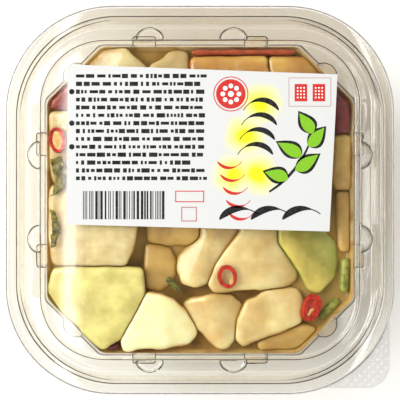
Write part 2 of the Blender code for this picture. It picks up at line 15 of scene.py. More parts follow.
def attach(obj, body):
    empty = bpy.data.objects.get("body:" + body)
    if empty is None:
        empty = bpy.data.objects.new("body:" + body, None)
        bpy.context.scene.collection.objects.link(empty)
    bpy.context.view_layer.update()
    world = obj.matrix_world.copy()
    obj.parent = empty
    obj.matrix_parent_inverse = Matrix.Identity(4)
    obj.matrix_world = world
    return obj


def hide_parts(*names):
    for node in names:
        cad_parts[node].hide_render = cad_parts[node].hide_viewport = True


MM = 0.001
BODY = "root"

# Camera: straight above, as far away as the photograph's perspective says
CAMERA_ABOVE_FLANGE = 430.0
FLANGE_Z = 39.0
HALF_FRAME = 61.4

# Sheet plastic
LID_SHEET = 0.35
TUB_SHEET = 0.4
CREASE = 0.45
ROUND_STEPS = 3
ROUND_SIDES = 40
CORNER_STEPS = 28
LOOP_GAP = 10.0
SLACK = 0.1
# Painted shade on the tub's sheet: the way along which its tint darkens, and the span in mm over which it
# does
SHADE_WAY = (0.6, 0.8, 0.0)
SHADE_SPAN = (-5.0, 40.0)

# Lid rings from the skirt's end inwards: half width, corner radius, height
LID_RINGS = ((60.0, 33.0, 36.9), (59.5, 32.7, 39.0), (55.4, 30.8, 39.0), (53.2, 24.4, 35.0),
             (49.5, 20.0, 35.0), (48.6, 18.6, 32.5))
LID_UNDERSIDE = 28.0
SKIRT_SIDE = 57.0
SKIRT_CORNER = 96.0
POCKET_SPREAD = 13.0
POCKET_SHIFT_X = -2.6
POCKET_SHIFT_Y = 0.9
POCKET_CENTRE = 49.9
POCKET_RADII = (3.0, 4.0)
POCKET_STRETCH = 1.22
POCKET_EDGE = 0.5
POCKET_FLOOR = 32.3
POCKET_TOP = 41.0

# Grip tab
TAB_REACH = (58.4, -57.9)
TAB_RADIUS = 7.0
TAB_BOTTOM = 36.95
TAB_SHEET = 0.5
TAB_LAP = 0.2
TAB_CUT = 4.0
DOT_PITCH = 2.66
DOT_ROW = 1.3
DOT_RADIUS = 0.55
DOT_HEIGHT = 0.42
DOT_MARGIN = 0.98
DOT_TAB_MARGIN = 0.88
DOT_FLANGE_MARGIN = 0.78
DOT_ROWS = 20
DOT_COLUMNS = 12

# Tub: rings of the body and of the rim above it
BODY_RINGS = ((44.6, 16.0, 0.0), (45.7, 16.4, 1.3), (48.8, 17.5, 30.9))
RIM_RINGS = ((55.2, 26.6, 30.6), (56.9, 31.5, 37.4), (59.0, 32.0, 37.4), (59.0, 32.0, 38.6))
RIM_CUT = 37.7
BODY_CORNER = 1.2
FLUTE_PLACES = (-17.5, 17.5)
FLUTE_WIDTH = 7.4
FLUTE_DEPTH = 2.5
FLUTE_ROOT = 3.0
FLUTE_ROUND = 0.8
FOOT_SHARE = 0.8
RIB_PLACES = (-10.6, -2.5, 2.5, 10.6)
RIB_RADIUS = 2.5
RIB_DEPTH = 2.2
RIB_MOUTH = 0.02
RIB_PAST = 1.0
COLUMN_RADIUS = 4.4
COLUMN_DEPTH = 2.4
COLUMN_TAPER = 0.4

# Brine
BRINE_GAP = 0.46
MENISCUS = ((0.28, 27.0), (0.36, 26.1), (0.5, 25.45), (0.6, 25.1), (0.6, 25.0))
MENISCUS_TOP = 28.4
SUNK_PIECE = 8.5
PRESSED_PIECE = 19.0
PRESSED_BEND = 7.0

# Contents
LID_PANEL_UNDERSIDE = 31.85
TOP_VOXEL = 0.5
LOW_VOXEL = 0.9
SMOOTH_ROUNDS = 7
# Heights between which lower flesh takes the rim's tone: painted shade
SHADE_HEIGHTS = (31.0, 25.5)

# Waves of a cut face: how far lumps lie apart, the share of the small ones, the highest crest, and
# how much a piece grows once smoothing has shrunk it
LUMP_SPACING = 7.0
NICK_SPACING = 1.6
NICK_SHARE = 0.18
CREST = 0.1
PIECE_GROW = 0.3
PIECE_DRIFT = (3.7, 1.9, 0.7)

# Swelling sideways: at most, where nothing is near (wanted and at most), the gap that is left, how
# far a neighbour is looked for, and how steep a face must be to swell at all and in full
SWELL_LIMIT = 1.0
SWELL_OPEN = 0.45
SWELL_OPEN_LIMIT = 0.9
SWELL_GAP = 0.2
SWELL_REACH = 3.0
SWELL_ROUNDS = 6
SWELL_LEAST = 0.1
SWELL_STEEP = 0.6
RAY_SKIP = 0.02

# Leaf scraps: spacing and height of their folds, and of the tears along their edges
LEAF_VOXEL = 0.25
LEAF_DRIFT = (2.3, 1.1, 0.0)
LEAF_FOLDS = ((2.4, 1.1), (0.9, 0.3))
LEAF_TEAR = (1.3, 0.5)

# Daikon finishes: name, light and deep flesh, rim tone for steep and lower faces, size of the blotches.
# The rim tone is painted shade, and also green skin or carrot stain for the olive and stained finishes.
# Pieces that are not listed after them are golden, a copy of the flesh painted darker for pieces in
# shade.
DAIKON_TONES = {
    "cream": ("salted daikon, bleached heart", "#FFF8C8", "#FAECAE", "#E8BE78", 5.0),
    "pale": ("salted daikon, pale", "#E6D8A2", "#CEB67C", "#B8904E", 5.0),
    "green": ("salted daikon, green shoulder", "#EEE494", "#C6BA68", "#AA9A4A", 7.5),
    "warm": ("salted daikon, warm", "#F4E6AA", "#D2B470", "#C49C54", 8.5),
    # A darker copy of the flesh: painted shade for pieces that lie deep or in shadow
    "golden": ("salted daikon, painted in shade", "#E8C66E", "#BC9244", "#AE883C", 7.0),
    "olive": ("salted daikon, olive skin", "#E8CC6A", "#B29A40", "#869C38", 6.5),
    "stained": ("salted daikon, stained by carrot", "#ECCA66", "#CC9642", "#A8642E", 9.0),
}
DAIKON_FINISHES = {1: "pale", 2: "pale", 3: "stained", 4: "stained", 5: "pale", 6: "pale", 7: "pale",
                   8: "pale", 10: "pale", 13: "warm", 14: "warm", 15: "olive", 17: "green",
                   18: "cream", 19: "warm", 20: "warm"}
DAIKON_COUNT = 30
TOP_DAIKON = 21
# Carrot tones. The dark one is a shaded copy: painted shade for the pieces that lie in shadow
CARROT_TONES = (("salted carrot, red", "#9C3A1E", "#7C2A14"), ("salted carrot", "#AE4A22", "#8E3A1A"),
                ("salted carrot, painted in shade", "#85302C", "#662424"))
CARROT_COUNT = 5
LEAF_COUNT = 2
STALK_COUNT = 3
STALK_VOXEL = 0.3

# Chilli: sides of a ring, its taper, its usual height, its lumps and lean as (spacing, share), how
# round its edges are, and the web and seeds inside it
CHILLI_SIDES = 72
CHILLI_TAPER = 0.94
CHILLI_HEIGHT = 0.94
CHILLI_LUMPS = ((1.4, 0.09), (5.0, 0.03))
CHILLI_LEAN = (0.9, 0.16)
CHILLI_ROUND = 0.28
WEB_THICKNESS = 0.14
WEB_LAP = 0.8
WEB_RISE = 0.2
SEED_SIZE = (2.0, 1.5, 0.5)
SEED_RISE = 0.28

# Chilli rings: centre, width, length, height, wall, turn, tilt, seeds as (x, y, spin), and the
# material number of the web across the inside, or 0 where there is none
CHILLI = {
    "chilli_ring_01": ((-44.6, 18.8, 31.0), 5.7, 8.5, 1.1, 1.15, 8.0, 0.0,
                       ((0.2, 1.7, 20), (-0.2, -1.5, 60)), 2),
    "chilli_ring_02": ((8.5, -24.0, 30.4), 6.4, 7.7, 1.3, 1.15, 14.0, 0.0, ((1.0, -1.9, 50),), 0),
    "chilli_ring_03": ((35.0, -33.8, 29.1), 5.9, 9.3, 2.7, 1.3, -20.0, 12.0,
                       ((-0.3, -2.3, 80), (0.1, -0.9, 70)), 1),
}

# Label print: where the label's paper ends and its thin layers of ink begin
LABEL_TOP = 33.1
INK = 0.02
INK_SUNK = 0.01
INK_WELD = 0.002
GLOW_SPOTS = ((14.0, 20.0), (10.0, 8.0), (19.0, 30.0), (18.0, 8.0))
GLOW_CORE = 3.4
GLOW_EDGE = 8.5
GLOW_JOIN = 2.0
GLOW_RAGGED = 3.0

# Rows of dashes, with a short row at the end of each block and a round mark before some rows
DASH_ROWS = 14
DASH_ROW = 2.45
DASH_TOP = 38.6
DASH_SIDES = (-38.6, 1.5)
DASH_BLOCK = 4
DASH_SHORT = (1.0, 9.0)
DASH_WIDTHS = (0.7, 0.95, 1.2, 1.9, 2.6)
DASH_HEIGHTS = (0.95, 1.15, 1.35)
DASH_GAPS = (0.38, 0.5, 0.9)
MARK_ROWS = (2, 6, 9)
MARK_X = -39.9
MARK_RADIUS = 0.85

# Plain stripes
STRIPE_SIDES = (-36.4, -11.2)
STRIPE_MIDDLE = -1.6
STRIPE_HEIGHT = 8.8
STRIPE_WIDTHS = (0.26, 0.26, 0.52, 0.78)
STRIPE_GAPS = (0.26, 0.26, 0.52, 0.6)

# Rows of brush strokes: how many, the first one's centre, the step to the next, radius, width,
# the angles where a stroke starts and ends, and how much thinner its ends are
BLACK_STROKES = ((4, (19.0, 25.0), (-0.6, -4.6), 6.2, 1.7, 28, 152, 0.85),
                 (3, (12.8, -10.8), (9.8, 0.0), 8.2, 2.2, 145, 52, 0.85),
                 (1, (5.0, 29.0), (0.0, 0.0), 31.2, 0.9, -58, -10, 0.4))
RED_STROKES = ((5, (9.2, 14.6), (0.9, -4.0), 4.6, 1.0, 215, 325, 0.8),)
STROKE_STEPS = 40
STROKE_HEAD = 1.3
STROKE_LEAN = 0.8

# Leaves on the branch: foot, direction and length, then their outline and how they bend
BRANCH_LEAVES = ((27.4, 6.4, 152, 7.5), (29.6, 9.4, 24, 8.5), (31.6, 13.4, 140, 8.5),
                 (33.6, 16.8, 38, 7.5), (35.0, 20.6, 112, 7.5))
LEAF_STEPS = 16
LEAF_EDGE = 0.8
LEAF_EDGE_WIDTH = 5.6
LEAF_FACE_WIDTH = 3.8
LEAF_BEND = 1.4
LEAF_LEAN = 0.75

# Dotted seal, two dotted tiles, and frames as middle, width, height and line
SEAL_PLACE = (9.6, 33.0)
SEAL_RADIUS = 4.6
SEAL_RING = 5.3
SEAL_LINE = 0.3
SEAL_DOTS = 8
SEAL_DOT_CIRCLE = 2.5
SEAL_DOT = 0.72
SEAL_MIDDLE_DOT = 0.9
TILE_PLACES = ((31.4, 33.4), (37.0, 33.4))
TILE_SIZE = (3.9, 5.4)
TILE_DOTS = (3, 4)
TILE_DOT = 0.26
RED_FRAME = (-3.2, 1.1, 9.0, 3.6, 0.3)
GREY_FRAMES = ((34.2, 33.6, 13.2, 9.0, 0.18), (-3.4, -4.4, 4.9, 4.6, 0.34))

# Studio
FLOOR_HALF = 1500.0
CLIP_START = 10.0
ROOM_STRENGTH = 0.95
OVERHEAD = (0.93, 0.99)

# Lamps: place, aim, width and length, power in watts
LAMPS = {
    "window": ((-750.0, 250.0, 700.0), (0.0, 0.0, 20.0), (700.0, 700.0), 11.0),
    "strip": ((-96.5, -50.0, 630.0), (-96.5, -50.0, 0.0), (8.0, 400.0), 0.05),
    "right_strip": ((121.0, 0.0, 630.0), (121.0, 0.0, 0.0), (9.0, 300.0), 0.05),
    "strip_glow": ((-96.5, -50.0, 640.0), (-96.5, -50.0, 0.0), (16.0, 400.0), 0.03),
}


# Nodes and materials

def colour(code):
    """An sRGB hex value as linear RGBA."""
    channels = []
    for start in (1, 3, 5):
        value = int(code[start:start + 2], 16) / 255
        channels.append(value / 12.92 if value <= 0.04045 else ((value + 0.055) / 1.055) ** 2.4)
    return (*channels, 1.0)


def add_node(tree, kind, links=None, **settings):
    """Add a shader node. Links give each named or numbered input a socket or a plain value."""
    node = tree.nodes.new("ShaderNode" + kind)
    for name, value in settings.items():
        setattr(node, name, value)
    for name, value in (links or {}).items():
        socket = node.inputs[name]
        if isinstance(value, bpy.types.NodeSocket):
            tree.links.new(value, socket)
        else:
            socket.default_value = value
    return node


def new_material(name, **settings):
    """A Principled material whose plain settings are given by the shader's own socket names."""
    mat = bpy.data.materials.new(name)
    mat.use_nodes = True
    tree = mat.node_tree
    shader = tree.nodes["Principled BSDF"]
    for socket, value in settings.items():
        value = colour(value) if isinstance(value, str) else value
        shader.inputs[socket.replace("_", " ")].default_value = value
    return mat, tree, shader


def blend_colours(tree, share, low, high):
    """A colour that goes from low to high, hex values or sockets, as share goes from 0 to 1."""
    mix = add_node(tree, "Mix", data_type="RGBA")
    for index, value in ((0, share), (6, low), (7, high)):
        if isinstance(value, bpy.types.NodeSocket):
            tree.links.new(value, mix.inputs[index])
        else:
            mix.inputs[index].default_value = colour(value) if isinstance(value, str) else value
    return mix.outputs[2]


def spread(tree, value, low, high, start=0.0, end=1.0):
    """Map a value from between low and high to between start and end, clamped."""
    ramp = add_node(tree, "MapRange", {"Value": value, "From Min": low, "From Max": high,
                                       "To Min": start, "To Max": end})
    return ramp.outputs["Result"]


def grain(tree, size, detail=3.0, stretch=(1.0, 1.0, 1.0), roughness=0.5):
    """Noise whose lumps are about size mm across, stretched along an axis if asked."""
    place = add_node(tree, "TexCoord").outputs["Object"]
    scaled = add_node(tree, "Mapping", {"Vector": place, "Scale": stretch})
    lumps = add_node(tree, "TexNoise", {"Vector": scaled.outputs["Vector"],
                                        "Scale": 1 / (size * MM), "Detail": detail,
                                        "Roughness": roughness})
    return lumps.outputs["Fac"]


def bump(tree, height, depth, before=None):
    """A bump of depth mm made from a height between 0 and 1."""
    links = {"Height": height, "Distance": depth * MM, "Strength": 1.0}
    if before is not None:
        links["Normal"] = before
    return add_node(tree, "Bump", links).outputs["Normal"]


def clear_pet(name, tint, roughness=0.03, shaded_tint=None):
    """Thermoformed PET sheet: clear and glossy. If asked, its tint darkens to one corner: painted shade,
    as where the floor under that side lies in shadow.

    Soft light goes straight through, because the contents would stay dark otherwise.
    """
    mat, tree, shader = new_material(name, Base_Color=tint, Roughness=roughness, IOR=1.5,
                                     Transmission_Weight=1.0)
    tree.links.new(bump(tree, grain(tree, 14.0, detail=1.0), 0.025), shader.inputs["Normal"])
    # Painted shade: the tint darkens towards one corner of the tub
    if shaded_tint:
        place = add_node(tree, "TexCoord").outputs["Object"]
        along = add_node(tree, "VectorMath", {0: place, 1: SHADE_WAY}, operation="DOT_PRODUCT")
        share = spread(tree, along.outputs["Value"], SHADE_SPAN[0] * MM, SHADE_SPAN[1] * MM)
        tree.links.new(blend_colours(tree, share, tint, shaded_tint), shader.inputs["Base Color"])
    passing = add_node(tree, "BsdfTransparent", {"Color": colour(tint)})
    rays = add_node(tree, "LightPath")
    either = add_node(tree, "MixShader", {0: rays.outputs["Is Diffuse Ray"],
                                          1: shader.outputs["BSDF"],
                                          2: passing.outputs["BSDF"]})
    tree.links.new(either.outputs["Shader"], tree.nodes["Material Output"].inputs["Surface"])
    return mat


def sheet_edge():
    """The die-cut edge of the sheet: rougher than its faces, and painted a dark grey-brown for the shade
    line a clear sheet shows along its edge.
    """
    mat, tree, shader = new_material("cut edge of the sheet", Roughness=0.35, IOR=1.5,
                                     Transmission_Weight=0.2)
    rough = grain(tree, 1.2)
    # Painted shade: the dark tones stand for the dark line along the sheet's edge
    tone = blend_colours(tree, spread(tree, rough, 0.35, 0.65), "#8C847C", "#5C554F")
    tree.links.new(tone, shader.inputs["Base Color"])
    tree.links.new(bump(tree, rough, 0.03), shader.inputs["Normal"])
    return mat


def daikon_flesh(name, light, deep, rim, blotch):
    """Salted daikon: wet, half clear root flesh. Flat tops are pale; steep and lower faces take the rim's
    tone, which is painted shade, and for some finishes also green skin or carrot stain."""
    mat, tree, shader = new_material(name, Roughness=0.34, IOR=1.38, Coat_Weight=0.8,
                                     Coat_Roughness=0.08, Coat_IOR=1.38, Subsurface_Weight=1.0,
                                     Subsurface_Scale=4.0 * MM)
    shader.inputs["Subsurface Radius"].default_value = (1.0, 0.75, 0.35)
    facing = add_node(tree, "NewGeometry").outputs["Normal"]
    up = add_node(tree, "SeparateXYZ", {"Vector": facing}).outputs["Z"]
    cloud = grain(tree, blotch)
    fibre = grain(tree, 0.9, stretch=(0.35, 1.0, 1.0))
    body = blend_colours(tree, spread(tree, cloud, 0.38, 0.66), light, deep)
    streaked = blend_colours(tree, spread(tree, fibre, 0.35, 0.75, 0.0, 0.3), body, deep)
    place = add_node(tree, "TexCoord").outputs["Object"]
    height = add_node(tree, "SeparateXYZ", {"Vector": place}).outputs["Z"]
    # Painted shade: lower faces and steep sides take the rim's tone, as if less light reached them
    sunk_shade = spread(tree, height, SHADE_HEIGHTS[0] * MM, SHADE_HEIGHTS[1] * MM, 0.0, 0.65)
    steep = spread(tree, up, 0.98, 0.35)
    share = add_node(tree, "Math", {0: sunk_shade, 1: steep}, operation="MAXIMUM").outputs["Value"]
    sloped = blend_colours(tree, share, streaked, rim)
    tree.links.new(sloped, shader.inputs["Base Color"])
    wet = bump(tree, fibre, 0.05, bump(tree, grain(tree, 3.0), 0.12))
    tree.links.new(wet, shader.inputs["Normal"])
    return mat


def carrot_flesh(name, light, deep):
    """Salted carrot: orange-red flesh, darker in its streaks."""
    mat, tree, shader = new_material(name, Roughness=0.32, IOR=1.38, Coat_Weight=0.4,
                                     Coat_Roughness=0.12, Subsurface_Weight=0.35,
                                     Subsurface_Scale=1.5 * MM)
    body = blend_colours(tree, spread(tree, grain(tree, 2.2), 0.35, 0.68), light, deep)
    tree.links.new(body, shader.inputs["Base Color"])
    tree.links.new(bump(tree, grain(tree, 0.8), 0.06), shader.inputs["Normal"])
    return mat


def plain_pulp(name, light, deep, size, roughness=0.3, shine=0.4):
    """Wet plant matter of two tones in spots of size mm, such as chilli skin, seeds or leaf."""
    mat, tree, shader = new_material(name, Roughness=roughness, IOR=1.4, Coat_Weight=shine,
                                     Coat_Roughness=0.08)
    body = blend_colours(tree, spread(tree, grain(tree, size), 0.38, 0.62), light, deep)
    tree.links.new(body, shader.inputs["Base Color"])
    tree.links.new(bump(tree, grain(tree, size * 0.6), 0.05), shader.inputs["Normal"])
    return mat


def printing_ink(name, tone):
    """Offset ink on the label: flat and a little glossy, with a faint unevenness."""
    mat, tree, shader = new_material(name, IOR=1.48, Roughness=0.5, Specular_IOR_Level=0.1)
    patch = spread(tree, grain(tree, 0.9), 0.3, 0.7, 0.97, 1.0)
    tree.links.new(blend_colours(tree, patch, "#FFFFFF", tone), shader.inputs["Base Color"])
    return mat


def coated_paper(name, tone, glow):
    """Coated label paper: white and smooth, with a soft printed glow and a faint fibre."""
    mat, tree, shader = new_material(name, IOR=1.45)
    fibre = grain(tree, 0.6)
    place = add_node(tree, "TexCoord").outputs["Object"]
    flat = add_node(tree, "VectorMath", {0: place, 1: (1, 1, 0)}, operation="MULTIPLY")
    nearest = None
    for x, y in GLOW_SPOTS:
        away = add_node(tree, "VectorMath", {0: flat.outputs["Vector"],
                                             1: (x * MM, y * MM, 0)}, operation="DISTANCE")
        distance = away.outputs["Value"]
        if nearest is not None:
            distance = add_node(tree, "Math", {0: nearest, 1: distance, 2: GLOW_JOIN * MM},
                                operation="SMOOTH_MIN").outputs["Value"]
        nearest = distance
    ragged = add_node(tree, "Math", {0: grain(tree, 5.0, detail=1.0), 1: GLOW_RAGGED * MM,
                                     2: nearest}, operation="MULTIPLY_ADD").outputs["Value"]
    share = spread(tree, ragged, GLOW_CORE * MM, GLOW_EDGE * MM)
    tree.links.new(blend_colours(tree, share, glow, tone), shader.inputs["Base Color"])
    tree.links.new(spread(tree, fibre, 0.3, 0.7, 0.42, 0.55), shader.inputs["Roughness"])
    tree.links.new(bump(tree, fibre, 0.01), shader.inputs["Normal"])
    return mat


def cloudy_brine():
    """Pickling brine: murky amber from above. Its upright faces look like pieces pressed to the wall."""
    mat, tree, shader = new_material("cloudy pickling brine", Roughness=0.05, IOR=1.34,
                                     Transmission_Weight=0.15)
    place = add_node(tree, "TexCoord").outputs["Object"]
    turned_place = add_node(tree, "Mapping", {"Vector": place, "Rotation": (0, 0, 0.5),
                                              "Scale": (1.0, 0.7, 1.0)}).outputs["Vector"]
    lumps = add_node(tree, "TexVoronoi", {"Vector": turned_place, "Smoothness": 0.8,
                                          "Scale": 1 / (SUNK_PIECE * MM)}, feature="SMOOTH_F1")
    sunk = spread(tree, lumps.outputs["Distance"], 0.12, 0.62)
    murk = blend_colours(tree, spread(tree, grain(tree, 7.0), 0.35, 0.65), "#A07C38", "#785A26")
    below = blend_colours(tree, sunk, "#C2A058", murk)
    bend = add_node(tree, "TexNoise", {"Vector": place, "Scale": 1 / (PRESSED_BEND * MM)})
    wavy = add_node(tree, "VectorMath", {0: bend.outputs["Color"], 1: [PRESSED_BEND * MM] * 3,
                                         2: place}, operation="MULTIPLY_ADD").outputs["Vector"]
    cells = {"Vector": wavy, "Scale": 1 / (PRESSED_PIECE * MM)}
    border = add_node(tree, "TexVoronoi", cells, feature="DISTANCE_TO_EDGE").outputs["Distance"]
    piece = add_node(tree, "TexVoronoi", cells).outputs["Color"]
    tone = add_node(tree, "SeparateXYZ", {"Vector": piece}).outputs["X"]
    flesh = blend_colours(tree, spread(tree, tone, 0.2, 0.9), "#F6E6AE", "#D8B468")
    cloudy = blend_colours(tree, spread(tree, grain(tree, 4.0), 0.4, 0.7, 0.0, 0.35), flesh, "#C49C50")
    pressed = blend_colours(tree, spread(tree, border, 0.0, 0.14), "#BC9450", cloudy)
    facing = add_node(tree, "NewGeometry").outputs["Normal"]
    level = add_node(tree, "SeparateXYZ", {"Vector": facing}).outputs["Z"]
    upright = spread(tree, level, 0.75, 0.3)
    tree.links.new(blend_colours(tree, upright, below, pressed), shader.inputs["Base Color"])
    tree.links.new(bump(tree, grain(tree, 6.0, detail=1.0), 0.08), shader.inputs["Normal"])
    return mat


# Meshes

def mesh_object(name, bm, mat=None):
    mesh = bpy.data.meshes.new(name)
    bm.to_mesh(mesh)
    bm.free()
    if mat:
        mesh.materials.append(mat)
    obj = bpy.data.objects.new(name, mesh)
    bpy.context.scene.collection.objects.link(obj)
    return obj


def apply_modifiers(obj):
    graph = bpy.context.evaluated_depsgraph_get()
    mesh = bpy.data.meshes.new_from_object(obj.evaluated_get(graph))
    obj.modifiers.clear()
    obj.data = mesh


def at(x, y, z=0.0):
    """A move to a place in mm."""
    return Matrix.Translation(Vector((x, y, z)) * MM)


def turned(degrees, axis="Z"):
    return Matrix.Rotation(math.radians(degrees), 4, axis)


def sized(x, y, z=1.0):
    """A scaling that gives a unit shape its size in mm."""
    return Matrix.Diagonal((x * MM, y * MM, z * MM, 1))


def round_edges(bm, edges, radius, steps=ROUND_STEPS):
    bmesh.ops.bevel(bm, geom=edges, offset=radius * MM, offset_type="OFFSET", segments=steps,
                    profile=0.5, affect="EDGES", material=-1)


def upright_edges(bm):
    return [edge for edge in bm.edges if abs(edge.verts[0].co.z - edge.verts[1].co.z) > MM / 2]


def bridge_faces(bm, faces):
    """Join a stack of faces into one closed solid. Gives back each face's loop of edges."""
    loops = [list(face.edges) for face in faces]
    bmesh.ops.delete(bm, geom=faces[1:-1], context="FACES_ONLY")
    for lower, upper in zip(loops, loops[1:]):
        bmesh.ops.bridge_loops(bm, edges=lower + upper)
    return loops


def slice_off(bm, height, away):
    """Cut off what lies past a plane and close the cut. Gives back the new faces."""
    cut = bmesh.ops.bisect_plane(bm, geom=bm.verts[:] + bm.edges[:] + bm.faces[:],
                                 plane_co=(0, 0, height * MM), plane_no=away, clear_outer=True)
    rim = [item for item in cut["geom_cut"] if isinstance(item, bmesh.types.BMEdge)]
    return bmesh.ops.contextual_create(bm, geom=rim)["faces"]


def take_in(bm, solid):
    """Add a finished solid to a larger mesh."""
    mesh = bpy.data.meshes.new("part")
    solid.to_mesh(mesh)
    solid.free()
    bm.from_mesh(mesh)
    bpy.data.meshes.remove(mesh)


def ease(bm):
    """One round of smoothing."""
    bmesh.ops.smooth_vert(bm, verts=bm.verts, factor=0.5, use_axis_x=True, use_axis_y=True,
                          use_axis_z=True)


def combine(target, other, operation):
    """Join another object to a piece, or cut it away, and remove the other."""
    change = target.modifiers.new(operation.lower(), "BOOLEAN")
    change.operation = operation
    change.solver = "EXACT"
    change.object = other
    apply_modifiers(target)
    bpy.data.objects.remove(other)


def finish_piece(obj, replaced=(), smooth=30.0, flat_faces=False):
    """Shade, tie to the body and hide the CAD parts it replaces. With flat_faces, big flat faces mirror
    as flat.
    """
    obj.data.shade_smooth()
    obj.data.set_sharp_from_angle(angle=math.radians(smooth))
    if flat_faces:
        weigh = obj.modifiers.new("flat faces", "WEIGHTED_NORMAL")
        weigh.keep_sharp = True
        weigh.weight = 100
        apply_modifiers(obj)
    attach(obj, BODY)
    if replaced:
        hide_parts(*replaced)
    return obj


def merged_copy(node):
    """A CAD node's mesh with its loose triangles joined."""
    bm = bmesh.new()
    bm.from_mesh(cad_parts[node].data)
    bmesh.ops.remove_doubles(bm, verts=bm.verts, dist=0.001 * MM)
    return bm


def square_loop(bm, half, corner, z, steps):
    """One flat face: a square with round corners, or cut ones when steps is 1."""
    known = set(bm.faces)
    made = bmesh.ops.create_grid(bm, x_segments=1, y_segments=1, size=half * MM, matrix=at(0, 0, z))
    bmesh.ops.bevel(bm, geom=made["verts"], offset=corner * MM, offset_type="OFFSET",
                    segments=steps, profile=0.5, affect="VERTICES", material=-1)
    return next(face for face in bm.faces if face not in known)


def stack_loops(rings, steps, creases=()):
    """A closed solid bridged through loops, in order. Creased loops get round edges."""
    bm = bmesh.new()
    loops = bridge_faces(bm, [square_loop(bm, half, corner, LOOP_GAP * index, steps)
                              for index, (half, corner, _) in enumerate(rings)])
    for loop, (_, _, z) in zip(loops, rings):
        for vert in {vert for edge in loop for vert in edge.verts}:
            vert.co.z = z * MM
    bmesh.ops.recalc_face_normals(bm, faces=bm.faces)
    if creases:
        round_edges(bm, [edge for index in creases for edge in loops[index]], CREASE)
    return bm


def open_shell(obj, unwanted, thickness, edge):
    """Take faces off a solid and give what is left a wall of even thickness, inwards.

    The wall's cut edge gets the material whose slot number is given by edge.
    """
    bm = bmesh.new()
    bm.from_mesh(obj.data)
    bmesh.ops.delete(bm, geom=[face for face in bm.faces if unwanted(face)], context="FACES")
    bmesh.ops.remove_doubles(bm, verts=bm.verts, dist=0.01 * MM)
    bm.to_mesh(obj.data)
    bm.free()
    wall = obj.modifiers.new("sheet", "SOLIDIFY")
    wall.thickness = thickness * MM
    wall.offset = -1.0
    wall.use_even_offset = False
    wall.use_quality_normals = True
    wall.material_offset_rim = edge
    apply_modifiers(obj)


# The lid

def pocket_cutter():
    """The eight half-round stacking pockets, as one set of tapered plugs."""
    bm = bmesh.new()
    depth = POCKET_TOP - POCKET_FLOOR
    low, high = POCKET_RADII
    grow = (high - low) / (LID_RINGS[1][2] - POCKET_FLOOR)
    for turn in range(4):
        for sign in (-1, 1):
            plug = bmesh.new()
            bmesh.ops.create_cone(plug, cap_ends=True, segments=ROUND_SIDES, radius1=low * MM,
                                  radius2=(low + grow * depth) * MM, depth=depth * MM)
            slice_off(plug, 0, (-1, 0, 0))
            foot = [edge for edge in plug.edges if all(vert.co.z < 0 for vert in edge.verts)]
            round_edges(plug, foot, POCKET_EDGE)
            slide = sign * POCKET_SPREAD
            reach = POCKET_CENTRE if turn < 2 else -POCKET_CENTRE
            x, y = (slide + POCKET_SHIFT_X, reach) if turn % 2 else (reach, slide + POCKET_SHIFT_Y)
            place = at(x, y, POCKET_FLOOR + depth / 2) @ turned(90 * turn)
            bmesh.ops.transform(plug, verts=plug.verts,
                                matrix=place @ Matrix.Diagonal((1, POCKET_STRETCH, 1, 1)))
            bmesh.ops.recalc_face_normals(plug, faces=plug.faces)
            take_in(bm, plug)
    return mesh_object("pocket_cutter", bm)


def outside_skirt(face):
    """True for the faces below the lid's sheet: the solid's floor and its wall under the skirt."""
    middle = face.calc_center_median() / MM
    x, y = abs(middle.x), abs(middle.y)
    outermost = max(x, y) > SKIRT_SIDE or x + y > SKIRT_CORNER
    return middle.z < LID_UNDERSIDE + SLACK or (middle.z < LID_RINGS[0][2] and outermost)


def dot_places():
    """Staggered rows of dots, kept where they lie wholly on the grip tab."""
    half, corner, _ = LID_RINGS[0]
    centre = half - corner
    reach_x, reach_y = TAB_REACH
    places = []
    for row in range(DOT_ROWS):
        y = reach_y + DOT_MARGIN + row * DOT_ROW
        for column in range(DOT_COLUMNS):
            x = reach_x - DOT_MARGIN - (column + 0.5 * (row % 2)) * DOT_PITCH
            past = max(x - reach_x + TAB_RADIUS, 0), max(reach_y + TAB_RADIUS - y, 0)
            on_tab = math.hypot(*past) < TAB_RADIUS - DOT_TAB_MARGIN
            beyond = math.hypot(x - centre, y + centre) > corner + DOT_FLANGE_MARGIN
            if on_tab and beyond and x > centre and y < -centre:
                places.append((x, y))
    return places


def build_tab(plastics):
    """The flat tab beyond the flange's corner, with its raised dots."""
    half, corner, _ = LID_RINGS[0]
    centre = half - corner
    reach_x, reach_y = TAB_REACH
    width, depth = reach_x - centre, -reach_y - centre
    middle = Vector((centre + width / 2, -centre - depth / 2, TAB_BOTTOM + TAB_SHEET / 2))
    bm = bmesh.new()
    bmesh.ops.create_cube(bm, size=1.0, matrix=at(*middle) @ sized(width, depth, TAB_SHEET))
    outer = [edge for edge in bm.edges
             if all(vert.co.x > middle.x * MM and vert.co.y < middle.y * MM for vert in edge.verts)]
    round_edges(bm, outer, TAB_RADIUS, CORNER_STEPS)
    tab = mesh_object("tab", bm)
    for mat in plastics:
        tab.data.materials.append(mat)
    for face in tab.data.polygons:
        face.material_index = 1
    bm = bmesh.new()
    radius = (corner - TAB_LAP) * MM
    bmesh.ops.create_cone(bm, cap_ends=True, segments=CORNER_STEPS * 6, radius1=radius, radius2=radius,
                          depth=TAB_CUT * MM, matrix=at(centre, -centre, TAB_BOTTOM))
    combine(tab, mesh_object("inner", bm), "DIFFERENCE")
    bm = bmesh.new()
    for x, y in dot_places():
        spot = at(x, y, TAB_BOTTOM + TAB_SHEET)
        bmesh.ops.create_uvsphere(bm, u_segments=16, v_segments=8, radius=1.0,
                                  matrix=spot @ sized(DOT_RADIUS, DOT_RADIUS, DOT_HEIGHT))
    combine(tab, mesh_object("dots", bm), "UNION")
    return tab


